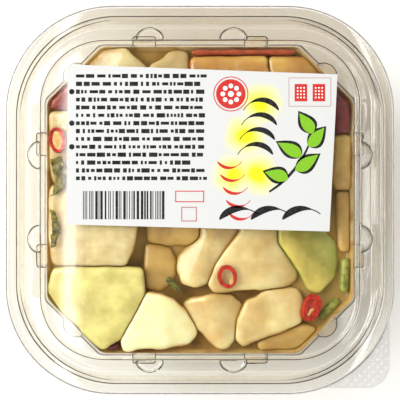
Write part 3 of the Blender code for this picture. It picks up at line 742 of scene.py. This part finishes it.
def build_lid(plastic, frosted, cut_edge):
    rings = ((*LID_RINGS[0][:2], LID_UNDERSIDE), *LID_RINGS)
    lid = mesh_object("clear_lid", stack_loops(rings, CORNER_STEPS, creases=(2, 3, 4, 5, 6)), plastic)
    lid.data.materials.append(frosted)
    lid.data.materials.append(cut_edge)
    combine(lid, pocket_cutter(), "DIFFERENCE")
    open_shell(lid, outside_skirt, LID_SHEET, 2)
    combine(lid, build_tab((plastic, frosted)), "UNION")
    lid.visible_shadow = False
    return finish_piece(lid, ["lid"], flat_faces=True)


# The tub

def flute_solid(place, inset):
    """One outward flute on the +X side, following the wall's slope and foot."""
    bm = bmesh.new()
    inner = BODY_RINGS[0][0] - FLUTE_ROOT
    faces = []
    for half, _, z in BODY_RINGS:
        known = set(bm.faces)
        reach = half + FLUTE_DEPTH * (FOOT_SHARE if z == 0 else 1) - inset
        bmesh.ops.create_grid(bm, x_segments=1, y_segments=1, size=1.0,
                              matrix=at((reach + inner) / 2, place, z)
                              @ sized((reach - inner) / 2, FLUTE_WIDTH / 2 - inset))
        faces.append(next(face for face in bm.faces if face not in known))
    bridge_faces(bm, faces)
    bmesh.ops.recalc_face_normals(bm, faces=bm.faces)
    outer = [edge for edge in upright_edges(bm) if edge.verts[0].co.x > BODY_RINGS[0][0] * MM]
    round_edges(bm, outer, FLUTE_ROUND)
    return bm


def rib_groove(place, inset):
    """One inward rib on the +X side: a wedge that is deep at the foot and fades at the mouth."""
    bm = bmesh.new()
    bottom, top = BODY_RINGS[0], BODY_RINGS[-1]
    height = top[2] + RIB_PAST
    bmesh.ops.create_cone(bm, cap_ends=True, segments=3, radius1=1.0, radius2=RIB_MOUTH,
                          depth=height * MM)
    for vert in bm.verts:
        wall = top[0] if vert.co.z > 0 else bottom[0]
        vert.co.x = (wall + RIB_DEPTH / 3 - inset - vert.co.x * RIB_DEPTH) * MM
        vert.co.y = (place + vert.co.y * (RIB_RADIUS + inset)) * MM
        vert.co.z += (height / 2 - RIB_PAST) * MM
    bmesh.ops.recalc_face_normals(bm, faces=bm.faces)
    return bm


def column_solid(inset):
    """One half-round column on a cut corner, leaning as the wall leans."""
    bm = bmesh.new()
    height = BODY_RINGS[-1][2]
    radius = COLUMN_RADIUS - inset
    bmesh.ops.create_cone(bm, cap_ends=True, segments=ROUND_SIDES, radius1=(radius - COLUMN_TAPER) * MM,
                          radius2=radius * MM, depth=height * MM)
    for vert in bm.verts:
        half, corner, _ = BODY_RINGS[-1] if vert.co.z > 0 else BODY_RINGS[0]
        face_distance = (2 * half - corner) / math.sqrt(2)
        reach = (face_distance + COLUMN_DEPTH - COLUMN_RADIUS) / math.sqrt(2)
        vert.co += Vector((reach, reach, height / 2)) * MM
    return bm


def four_sides(make, *arguments):
    """The same solid on each of the tub's four sides, in one mesh object."""
    bm = bmesh.new()
    for turn in range(4):
        solid = make(*arguments)
        bmesh.ops.transform(solid, matrix=turned(90 * turn), verts=solid.verts)
        take_in(bm, solid)
    return mesh_object("four_sides", bm)


def above_rim(face):
    """True for the faces above the tub's flange."""
    return face.calc_center_median().z > RIM_CUT * MM


def body_solid(name, inset, mat, bays=True):
    """The tub's body as a solid block, or smaller all round, with or without flutes and columns."""
    narrower = inset * (2 - math.sqrt(2))
    body = stack_loops([(half - inset, corner - narrower, z) for half, corner, z in BODY_RINGS], 1)
    round_edges(body, upright_edges(body), BODY_CORNER)
    solid = mesh_object(name, body, mat)
    if bays:
        for place in FLUTE_PLACES:
            combine(solid, four_sides(flute_solid, place, inset), "UNION")
        combine(solid, four_sides(column_solid, inset), "UNION")
    for place in RIB_PLACES:
        combine(solid, four_sides(rib_groove, place, inset), "DIFFERENCE")
    return solid


def build_brine():
    """Brine round the upper pieces: a flat surface with a curved edge that climbs the wall."""
    pool = body_solid("pickling_brine", BRINE_GAP, cloudy_brine(), bays=False)
    bm = bmesh.new()
    bm.from_mesh(pool.data)
    for height, away in ((BRINE_GAP, -1), (MENISCUS_TOP, 1)):
        surface = slice_off(bm, height, (0, 0, away))
    for width, height in MENISCUS:
        bmesh.ops.inset_region(bm, faces=surface, thickness=width * MM, use_even_offset=True)
        for vert in surface[0].verts:
            vert.co.z = height * MM
    bmesh.ops.recalc_face_normals(bm, faces=bm.faces)
    bm.to_mesh(pool.data)
    bm.free()
    pool.visible_shadow = False
    return finish_piece(pool, ["brine"], flat_faces=True)


def build_tub(plastic, cut_edge):
    tub = body_solid("clear_tub", 0.0, plastic)
    tub.data.materials.append(cut_edge)
    rim = mesh_object("rim", stack_loops(RIM_RINGS, CORNER_STEPS, creases=(0, 1)))
    combine(tub, rim, "UNION")
    open_shell(tub, above_rim, TUB_SHEET, 1)
    tub.visible_shadow = False
    return finish_piece(tub, ["tub"], flat_faces=True)


# The label and its generic print

def ink_sheet(bm, place, steps):
    """A flat patch of ink: a grid of steps by 1 whose points go where place(u, v) says."""
    made = bmesh.ops.create_grid(bm, x_segments=steps, y_segments=1, size=1.0)
    for vert in made["verts"]:
        x, y = place((vert.co.x + 1) / 2, vert.co.y)
        vert.co = Vector((x, y, 0)) * MM


def ink_bar(bm, x, y, width, height):
    bmesh.ops.create_grid(bm, x_segments=1, y_segments=1, size=1.0,
                          matrix=at(x, y) @ sized(width / 2, height / 2))


def ink_disc(bm, x, y, radius):
    bmesh.ops.create_circle(bm, cap_ends=True, segments=32, radius=radius * MM, matrix=at(x, y))


def ink_arc(bm, x, y, radius, width, start, end, brush=0.0, steps=STROKE_STEPS):
    """An arc of ink between two angles, thinner at its ends by the brush share."""
    def place(u, v):
        angle = math.radians(start + (end - start) * u)
        swell = 1 - brush + brush * math.sin(math.pi * min(u * STROKE_HEAD, 1) ** STROKE_LEAN)
        out = radius + v * width / 2 * swell
        return x + out * math.cos(angle), y + out * math.sin(angle)
    ink_sheet(bm, place, steps)


def ink_strokes(bm, rows):
    """Rows of brush strokes."""
    for count, (x, y), (step_x, step_y), radius, width, start, end, brush in rows:
        for index in range(count):
            ink_arc(bm, x + index * step_x, y + index * step_y, radius, width, start, end, brush)


def ink_leaf(bm, x, y, length, width, turn):
    """A leaf that grows from (x, y) in the direction of turn and bends as it goes."""
    angle = math.radians(turn)
    along = Vector((math.cos(angle), math.sin(angle)))
    across = Vector((-along.y, along.x))

    def place(u, v):
        side = v * width / 2 * math.sin(math.pi * u ** LEAF_LEAN) + LEAF_BEND * u * u
        spot = Vector((x, y)) + along * length * u + across * side
        return spot.x, spot.y
    ink_sheet(bm, place, LEAF_STEPS)


def ink_frame(bm, x, y, width, height, line):
    """A thin rectangle drawn with four bars."""
    for sign in (-1, 1):
        ink_bar(bm, x, y + sign * (height - line) / 2, width, line)
        ink_bar(bm, x + sign * (width - line) / 2, y, line, height - 2 * line)


def print_black(bm):
    """Rows of plain dashes, plain stripes, brush arcs and the edges of the leaves."""
    draw = random.Random(3)
    for row in range(DASH_ROWS):
        y = DASH_TOP - row * DASH_ROW
        x, end = DASH_SIDES
        end -= draw.random() * DASH_SHORT[(row + 1) % DASH_BLOCK == 0]
        while x < end:
            width = draw.choice(DASH_WIDTHS)
            ink_bar(bm, x + width / 2, y, width, draw.choice(DASH_HEIGHTS))
            x += width + draw.choice(DASH_GAPS)
        if row in MARK_ROWS:
            ink_disc(bm, MARK_X, y, MARK_RADIUS)
    x, end = STRIPE_SIDES
    while x < end:
        width = draw.choice(STRIPE_WIDTHS)
        ink_bar(bm, x + width / 2, STRIPE_MIDDLE, width, STRIPE_HEIGHT)
        x += width + draw.choice(STRIPE_GAPS)
    ink_strokes(bm, BLACK_STROKES)
    for x, y, turn, length in BRANCH_LEAVES:
        ink_leaf(bm, x, y, length + LEAF_EDGE, LEAF_EDGE_WIDTH, turn)


def print_red(bm):
    """A round seal, a plain frame, brush arcs and two tiles."""
    ink_disc(bm, *SEAL_PLACE, SEAL_RADIUS)
    ink_arc(bm, *SEAL_PLACE, SEAL_RING, SEAL_LINE, 0, 360, steps=64)
    ink_frame(bm, *RED_FRAME)
    ink_strokes(bm, RED_STROKES)
    for x, y in TILE_PLACES:
        ink_bar(bm, x, y, *TILE_SIZE)


def print_grey(bm):
    """Two thin frames."""
    for frame_row in GREY_FRAMES:
        ink_frame(bm, *frame_row)


def print_lime(bm):
    """The leaves' faces, over their black edges."""
    for x, y, turn, length in BRANCH_LEAVES:
        ink_leaf(bm, x, y, length, LEAF_FACE_WIDTH, turn)


def print_white(bm):
    """A flower of dots in the seal and rows of dots on the tiles."""
    middle_x, middle_y = SEAL_PLACE
    ink_disc(bm, middle_x, middle_y, SEAL_MIDDLE_DOT)
    for turn in range(SEAL_DOTS):
        angle = math.tau * turn / SEAL_DOTS
        ink_disc(bm, middle_x + SEAL_DOT_CIRCLE * math.cos(angle),
                 middle_y + SEAL_DOT_CIRCLE * math.sin(angle), SEAL_DOT)
    columns, rows = TILE_DOTS
    for x, y in TILE_PLACES:
        for row in range(rows):
            for column in range(columns):
                ink_disc(bm, x + column - (columns - 1) / 2, y + row - (rows - 1) / 2, TILE_DOT)


def build_label():
    """The label's paper with its ink laid on in thin layers, as one piece."""
    label = mesh_object("printed_label", merged_copy("label"),
                        coated_paper("coated label paper", "#D2D2D0", "#F2EC08"))
    inks = ((print_black, "#100F0F", 0), (print_red, "#C42A22", 0), (print_grey, "#B07C78", 0),
            (print_lime, "#7CB81E", 1), (print_white, "#FBF7F4", 1))
    bm = bmesh.new()
    bm.from_mesh(label.data)
    for index, (draw_print, tone, layer) in enumerate(inks, 1):
        label.data.materials.append(printing_ink(draw_print.__name__.replace("print", "ink"), tone))
        patch = bmesh.new()
        draw_print(patch)
        bmesh.ops.remove_doubles(patch, verts=patch.verts, dist=INK_WELD * MM)
        bmesh.ops.dissolve_degenerate(patch, dist=INK_WELD * MM, edges=patch.edges)
        bmesh.ops.recalc_face_normals(patch, faces=patch.faces)
        for face in patch.faces:
            face.material_index = index
            if face.normal.z < 0:
                face.normal_flip()
        raised = bmesh.ops.extrude_face_region(patch, geom=patch.faces, use_keep_orig=True)
        for item in raised["geom"]:
            if isinstance(item, bmesh.types.BMVert):
                item.co.z += (INK + INK_SUNK) * MM
        bmesh.ops.recalc_face_normals(patch, faces=patch.faces)
        bmesh.ops.transform(patch, verts=patch.verts, matrix=at(0, 0, LABEL_TOP - INK_SUNK + layer * INK))
        take_in(bm, patch)
    bm.to_mesh(label.data)
    bm.free()
    return finish_piece(label, ["label"])


# The contents

def remeshed_copy(name, node, mat, voxel):
    """A CAD node's shape with an even skin of small faces."""
    obj = mesh_object(name, merged_copy(node), mat)
    remesh = obj.modifiers.new("skin", "REMESH")
    remesh.mode = "VOXEL"
    remesh.voxel_size = voxel * MM
    apply_modifiers(obj)
    obj.data.materials.clear()
    obj.data.materials.append(mat)
    return obj


def soft_piece(name, node, mat, voxel, wave, seed):
    """A cut piece of root: its solid remeshed, smoothed and gently waved, as wet flesh is."""
    obj = remeshed_copy(name, node, mat, voxel)
    bm = bmesh.new()
    bm.from_mesh(obj.data)
    for _ in range(SMOOTH_ROUNDS):
        ease(bm)
    bm.normal_update()
    drift = Vector([seed * way for way in PIECE_DRIFT])
    for vert in bm.verts:
        place = vert.co / MM
        swell = noise.noise(place / LUMP_SPACING + drift) * wave
        nick = noise.noise(place / NICK_SPACING + drift) * wave * NICK_SHARE
        vert.co += vert.normal * (min(swell + nick, CREST) - CREST + PIECE_GROW) * MM
        vert.co.z = min(vert.co.z, LID_PANEL_UNDERSIDE * MM)
    bm.to_mesh(obj.data)
    bm.free()
    return finish_piece(obj, [node], smooth=180.0)


def room_beside(tree, owners, own, start, way):
    """How far a point may go before it meets another piece, and which one that is."""
    gone = RAY_SKIP * MM
    while gone < SWELL_REACH * MM:
        hit, _, index, distance = tree.ray_cast(start + way * gone, way, SWELL_REACH * MM - gone)
        if hit is None:
            break
        gone += distance
        if owners[index] != own:
            return gone / MM, owners[index]
        gone += RAY_SKIP * MM
    return None, None


def press_together(pieces, others):
    """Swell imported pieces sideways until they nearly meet, as they do in a full tub."""
    verts, faces, owners = [], [], []
    for obj in (*pieces, *others):
        start = len(verts)
        verts += [vert.co.copy() for vert in obj.data.vertices]
        faces += [[start + index for index in face.vertices] for face in obj.data.polygons]
        owners += [obj.name] * len(obj.data.polygons)
    tree = BVHTree.FromPolygons(verts, faces)
    packed = {obj.name for obj in pieces}
    for obj in pieces:
        bm = bmesh.new()
        bm.from_mesh(obj.data)
        bm.normal_update()
        ways, shifts, rooms = [], [], []
        for vert in bm.verts:
            way = Vector((vert.normal.x, vert.normal.y, 0))
            share = min(way.length / SWELL_STEEP, 1.0)
            way = way.normalized() if share > SWELL_LEAST else Vector((0, 0, 0))
            room, name = room_beside(tree, owners, obj.name, vert.co, way) if way.length else (0, None)
            if room is None:
                move, room = SWELL_OPEN, SWELL_OPEN_LIMIT
            else:
                move = room = max(room - SWELL_GAP, 0) / (2 if name in packed else 1)
            ways.append(way)
            rooms.append(room)
            shifts.append(min(move, SWELL_LIMIT) * share)
        bm.verts.index_update()
        nearby = [[edge.other_vert(vert).index for edge in vert.link_edges] for vert in bm.verts]
        for _ in range(SWELL_ROUNDS):
            shifts = [(shift + sum(shifts[index] for index in near)) / (1 + len(near))
                      for shift, near in zip(shifts, nearby)]
        for vert, way, shift, room in zip(bm.verts, ways, shifts, rooms):
            vert.co += way * min(shift, room) * MM
        ease(bm)
        bm.to_mesh(obj.data)
        bm.free()


def leaf_piece(name, node, mat, seed):
    """A limp scrap of leaf: its solid finely remeshed, crumpled and pressed under the lid."""
    obj = remeshed_copy(name, node, mat, LEAF_VOXEL)
    bm = bmesh.new()
    bm.from_mesh(obj.data)
    ease(bm)
    drift = Vector([seed * way for way in LEAF_DRIFT])
    noise.seed_set(seed)
    for vert in bm.verts:
        flat = Vector((vert.co.x, vert.co.y, 0)) / MM
        fold = sum(noise.noise(flat / spacing + drift) * height for spacing, height in LEAF_FOLDS)
        tear = noise.noise_vector(flat / LEAF_TEAR[0] + drift) * LEAF_TEAR[1]
        vert.co += Vector((tear.x, tear.y, fold)) * MM
        vert.co.z = min(vert.co.z, LID_PANEL_UNDERSIDE * MM)
    bm.to_mesh(obj.data)
    bm.free()
    return finish_piece(obj, [node], smooth=180.0)


def chilli_tube(width, length, height, wall, seed):
    """A slice of chilli about the origin: an uneven tube with a skin and a paler inside."""
    bm = bmesh.new()
    bmesh.ops.create_cone(bm, cap_ends=False, segments=CHILLI_SIDES, radius1=1.0, radius2=CHILLI_TAPER,
                          depth=1.0)
    bmesh.ops.subdivide_edges(bm, edges=upright_edges(bm), cuts=4)
    for vert in bm.verts:
        spot = Vector((vert.co.x, vert.co.y, seed))
        even = 1 - sum(share * abs(noise.noise(spot * scale)) for scale, share in CHILLI_LUMPS)
        lean = CHILLI_LEAN[1] * noise.noise(spot * CHILLI_LEAN[0])
        vert.co = Vector((vert.co.x * width / 2 * even, vert.co.y * length / 2 * even,
                          vert.co.z * height * (CHILLI_HEIGHT + lean))) * MM
    tube = mesh_object("tube", bm)
    rind = tube.modifiers.new("wall", "SOLIDIFY")
    rind.thickness = wall * MM
    rind.offset = -1.0
    rind.material_offset = 1
    rind.material_offset_rim = 1
    soften = tube.modifiers.new("soft edges", "BEVEL")
    soften.width = wall * CHILLI_ROUND * MM
    soften.segments = ROUND_STEPS
    soften.limit_method = "ANGLE"
    apply_modifiers(tube)
    return tube


def add_ball(bm, matrix, material, sides=32):
    """A unit ball drawn flat by a matrix, in one of the piece's materials."""
    known = set(bm.faces)
    bmesh.ops.create_uvsphere(bm, u_segments=sides, v_segments=12, radius=1.0, matrix=matrix)
    for face in set(bm.faces) - known:
        face.material_index = material


def build_chilli():
    """Chilli rings: skin, paler flesh, a thin web across the inside and a few flat seeds."""
    mats = (plain_pulp("chilli skin", "#C8260A", "#961806", 1.4, 0.3, shine=0.08),
            plain_pulp("chilli flesh", "#D8481C", "#B02A0C", 0.9, 0.3, shine=0.08),
            plain_pulp("chilli web", "#EDC987", "#D09A50", 0.7, roughness=0.35),
            plain_pulp("chilli seed", "#F2D58C", "#D6A552", 0.6, roughness=0.35))
    rings = []
    for name, (centre, width, length, height, wall, turn, tilt, seeds, web_material) in CHILLI.items():
        ring = chilli_tube(width, length, height, wall, turn)
        bm = bmesh.new()
        bm.from_mesh(ring.data)
        bpy.data.objects.remove(ring)
        if web_material:
            inner = sized(width / 2 - wall * WEB_LAP, length / 2 - wall * WEB_LAP, WEB_THICKNESS)
            add_ball(bm, at(0, 0, height * WEB_RISE) @ inner, web_material)
        for x, y, spin in seeds:
            seed = sized(*(size / 2 for size in SEED_SIZE))
            add_ball(bm, at(x, y, height * SEED_RISE) @ turned(spin, (0.4, 0.3, 1)) @ seed,
                     len(mats) - 1, sides=20)
        bmesh.ops.transform(bm, matrix=at(*centre) @ turned(turn) @ turned(tilt, "Y"), verts=bm.verts)
        piece = mesh_object("cut_" + name, bm)
        for mat in mats:
            piece.data.materials.append(mat)
        rings.append(finish_piece(piece, [name], smooth=50.0))
    return rings


def build_contents(walls):
    """All pieces in the tub, then the upper daikon swollen until it fills the room between them."""
    flesh = {key: daikon_flesh(*tones) for key, tones in DAIKON_TONES.items()}
    packed = []
    for index in range(1, DAIKON_COUNT + 1):
        name = f"daikon_{index:02d}"
        voxel = TOP_VOXEL if index <= TOP_DAIKON else LOW_VOXEL
        mat = flesh[DAIKON_FINISHES.get(index, "golden")]
        piece = soft_piece("cut_" + name, name, mat, voxel, 0.5, index)
        if index <= TOP_DAIKON:
            packed.append(piece)
    carrots = [carrot_flesh(*tones) for tones in CARROT_TONES]
    loose = []
    for index in range(1, CARROT_COUNT + 1):
        name = f"carrot_{index:02d}"
        mat = carrots[min(index, len(carrots)) - 1]
        loose.append(soft_piece("cut_" + name, name, mat, TOP_VOXEL, 0.3, 40 + index))
    leaf = plain_pulp("salted leaf", "#857822", "#4A4210", 1.5, 0.5, shine=0.12)
    for index in range(1, LEAF_COUNT + 1):
        loose.append(leaf_piece(f"salted_leaf_{index:02d}", f"leaf_{index:02d}", leaf, 60 + index))
    stalk = plain_pulp("salted stalk", "#77762A", "#3E4214", 0.7, 0.45, shine=0.15)
    rind = plain_pulp("salted green rind", "#9C9C3A", "#6E7426", 1.6, 0.4, shine=0.15)
    for index in range(1, STALK_COUNT + 1):
        loose.append(soft_piece(f"cut_stalk_{index:02d}", f"stalk_{index:02d}",
                                stalk if index == 1 else rind, STALK_VOXEL, 0.35, 70 + index))
    loose += build_chilli()
    press_together(packed, [*loose, *walls])


# Stage, light and camera

def build_stage():
    bm = bmesh.new()
    bmesh.ops.create_grid(bm, x_segments=1, y_segments=1, size=FLOOR_HALF * MM)
    paper, _, _ = new_material("white studio paper", Base_Color="#EEEDEA", Roughness=0.8)
    mesh_object("studio_floor", bm, paper)


def area_light(name, place, aim, size, power):
    place, aim = Vector(place) * MM, Vector(aim) * MM
    lamp = bpy.data.lights.new(name, "AREA")
    lamp.shape = "RECTANGLE"
    lamp.size, lamp.size_y = (side * MM for side in size)
    lamp.energy = power
    obj = bpy.data.objects.new(name, lamp)
    obj.location = place
    obj.rotation_euler = (aim - place).to_track_quat("-Z", "Y").to_euler()
    bpy.context.scene.collection.objects.link(obj)


def build_light():
    """A pale room that is dark right overhead, a window on the left and thin ceiling lamps."""
    world = bpy.data.worlds.new("pale studio")
    bpy.context.scene.world = world
    world.use_nodes = True
    tree = world.node_tree
    sky = tree.nodes["Background"]
    way = add_node(tree, "TexCoord").outputs["Generated"]
    up = add_node(tree, "SeparateXYZ", {"Vector": way}).outputs["Z"]
    tree.links.new(blend_colours(tree, spread(tree, up, *OVERHEAD), "#F7F7F6", "#5E5E5D"),
                   sky.inputs["Color"])
    sky.inputs["Strength"].default_value = ROOM_STRENGTH
    for name, lamp in LAMPS.items():
        area_light(name, *lamp)


def build_camera():
    camera = bpy.data.cameras.new("camera")
    camera.angle = 2 * math.atan(HALF_FRAME / CAMERA_ABOVE_FLANGE)
    camera.clip_start = CLIP_START * MM
    obj = bpy.data.objects.new("camera", camera)
    obj.location = (0, 0, (FLANGE_Z + CAMERA_ABOVE_FLANGE) * MM)
    bpy.context.scene.collection.objects.link(obj)
    bpy.context.scene.camera = obj
    bpy.context.scene.view_settings.view_transform = "Standard"
    bpy.context.scene.cycles.caustics_refractive = False
    bpy.context.scene.cycles.caustics_reflective = False
    bpy.context.scene.cycles.sample_clamp_indirect = 0.0


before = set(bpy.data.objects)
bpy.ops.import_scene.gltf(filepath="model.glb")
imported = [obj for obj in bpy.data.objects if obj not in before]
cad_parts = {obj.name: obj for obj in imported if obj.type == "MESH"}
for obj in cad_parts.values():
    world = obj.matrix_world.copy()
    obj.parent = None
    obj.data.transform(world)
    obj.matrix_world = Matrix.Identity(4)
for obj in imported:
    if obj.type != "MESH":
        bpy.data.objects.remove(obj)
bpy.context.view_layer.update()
pet = clear_pet("clear PET sheet", "#FDFDFB")
cut_edge = sheet_edge()
build_lid(pet, clear_pet("embossed PET sheet", "#EBEBEB", 0.16), cut_edge)
# The tub's sheet is painted darker to one corner: painted shade
clear_tub = build_tub(clear_pet("PET sheet, painted shade to one corner", "#F9F8F3", shaded_tint="#DAD2C6"), cut_edge)
pool = build_brine()
build_label()
build_contents((clear_tub, pool))
build_stage()
build_light()
build_camera()
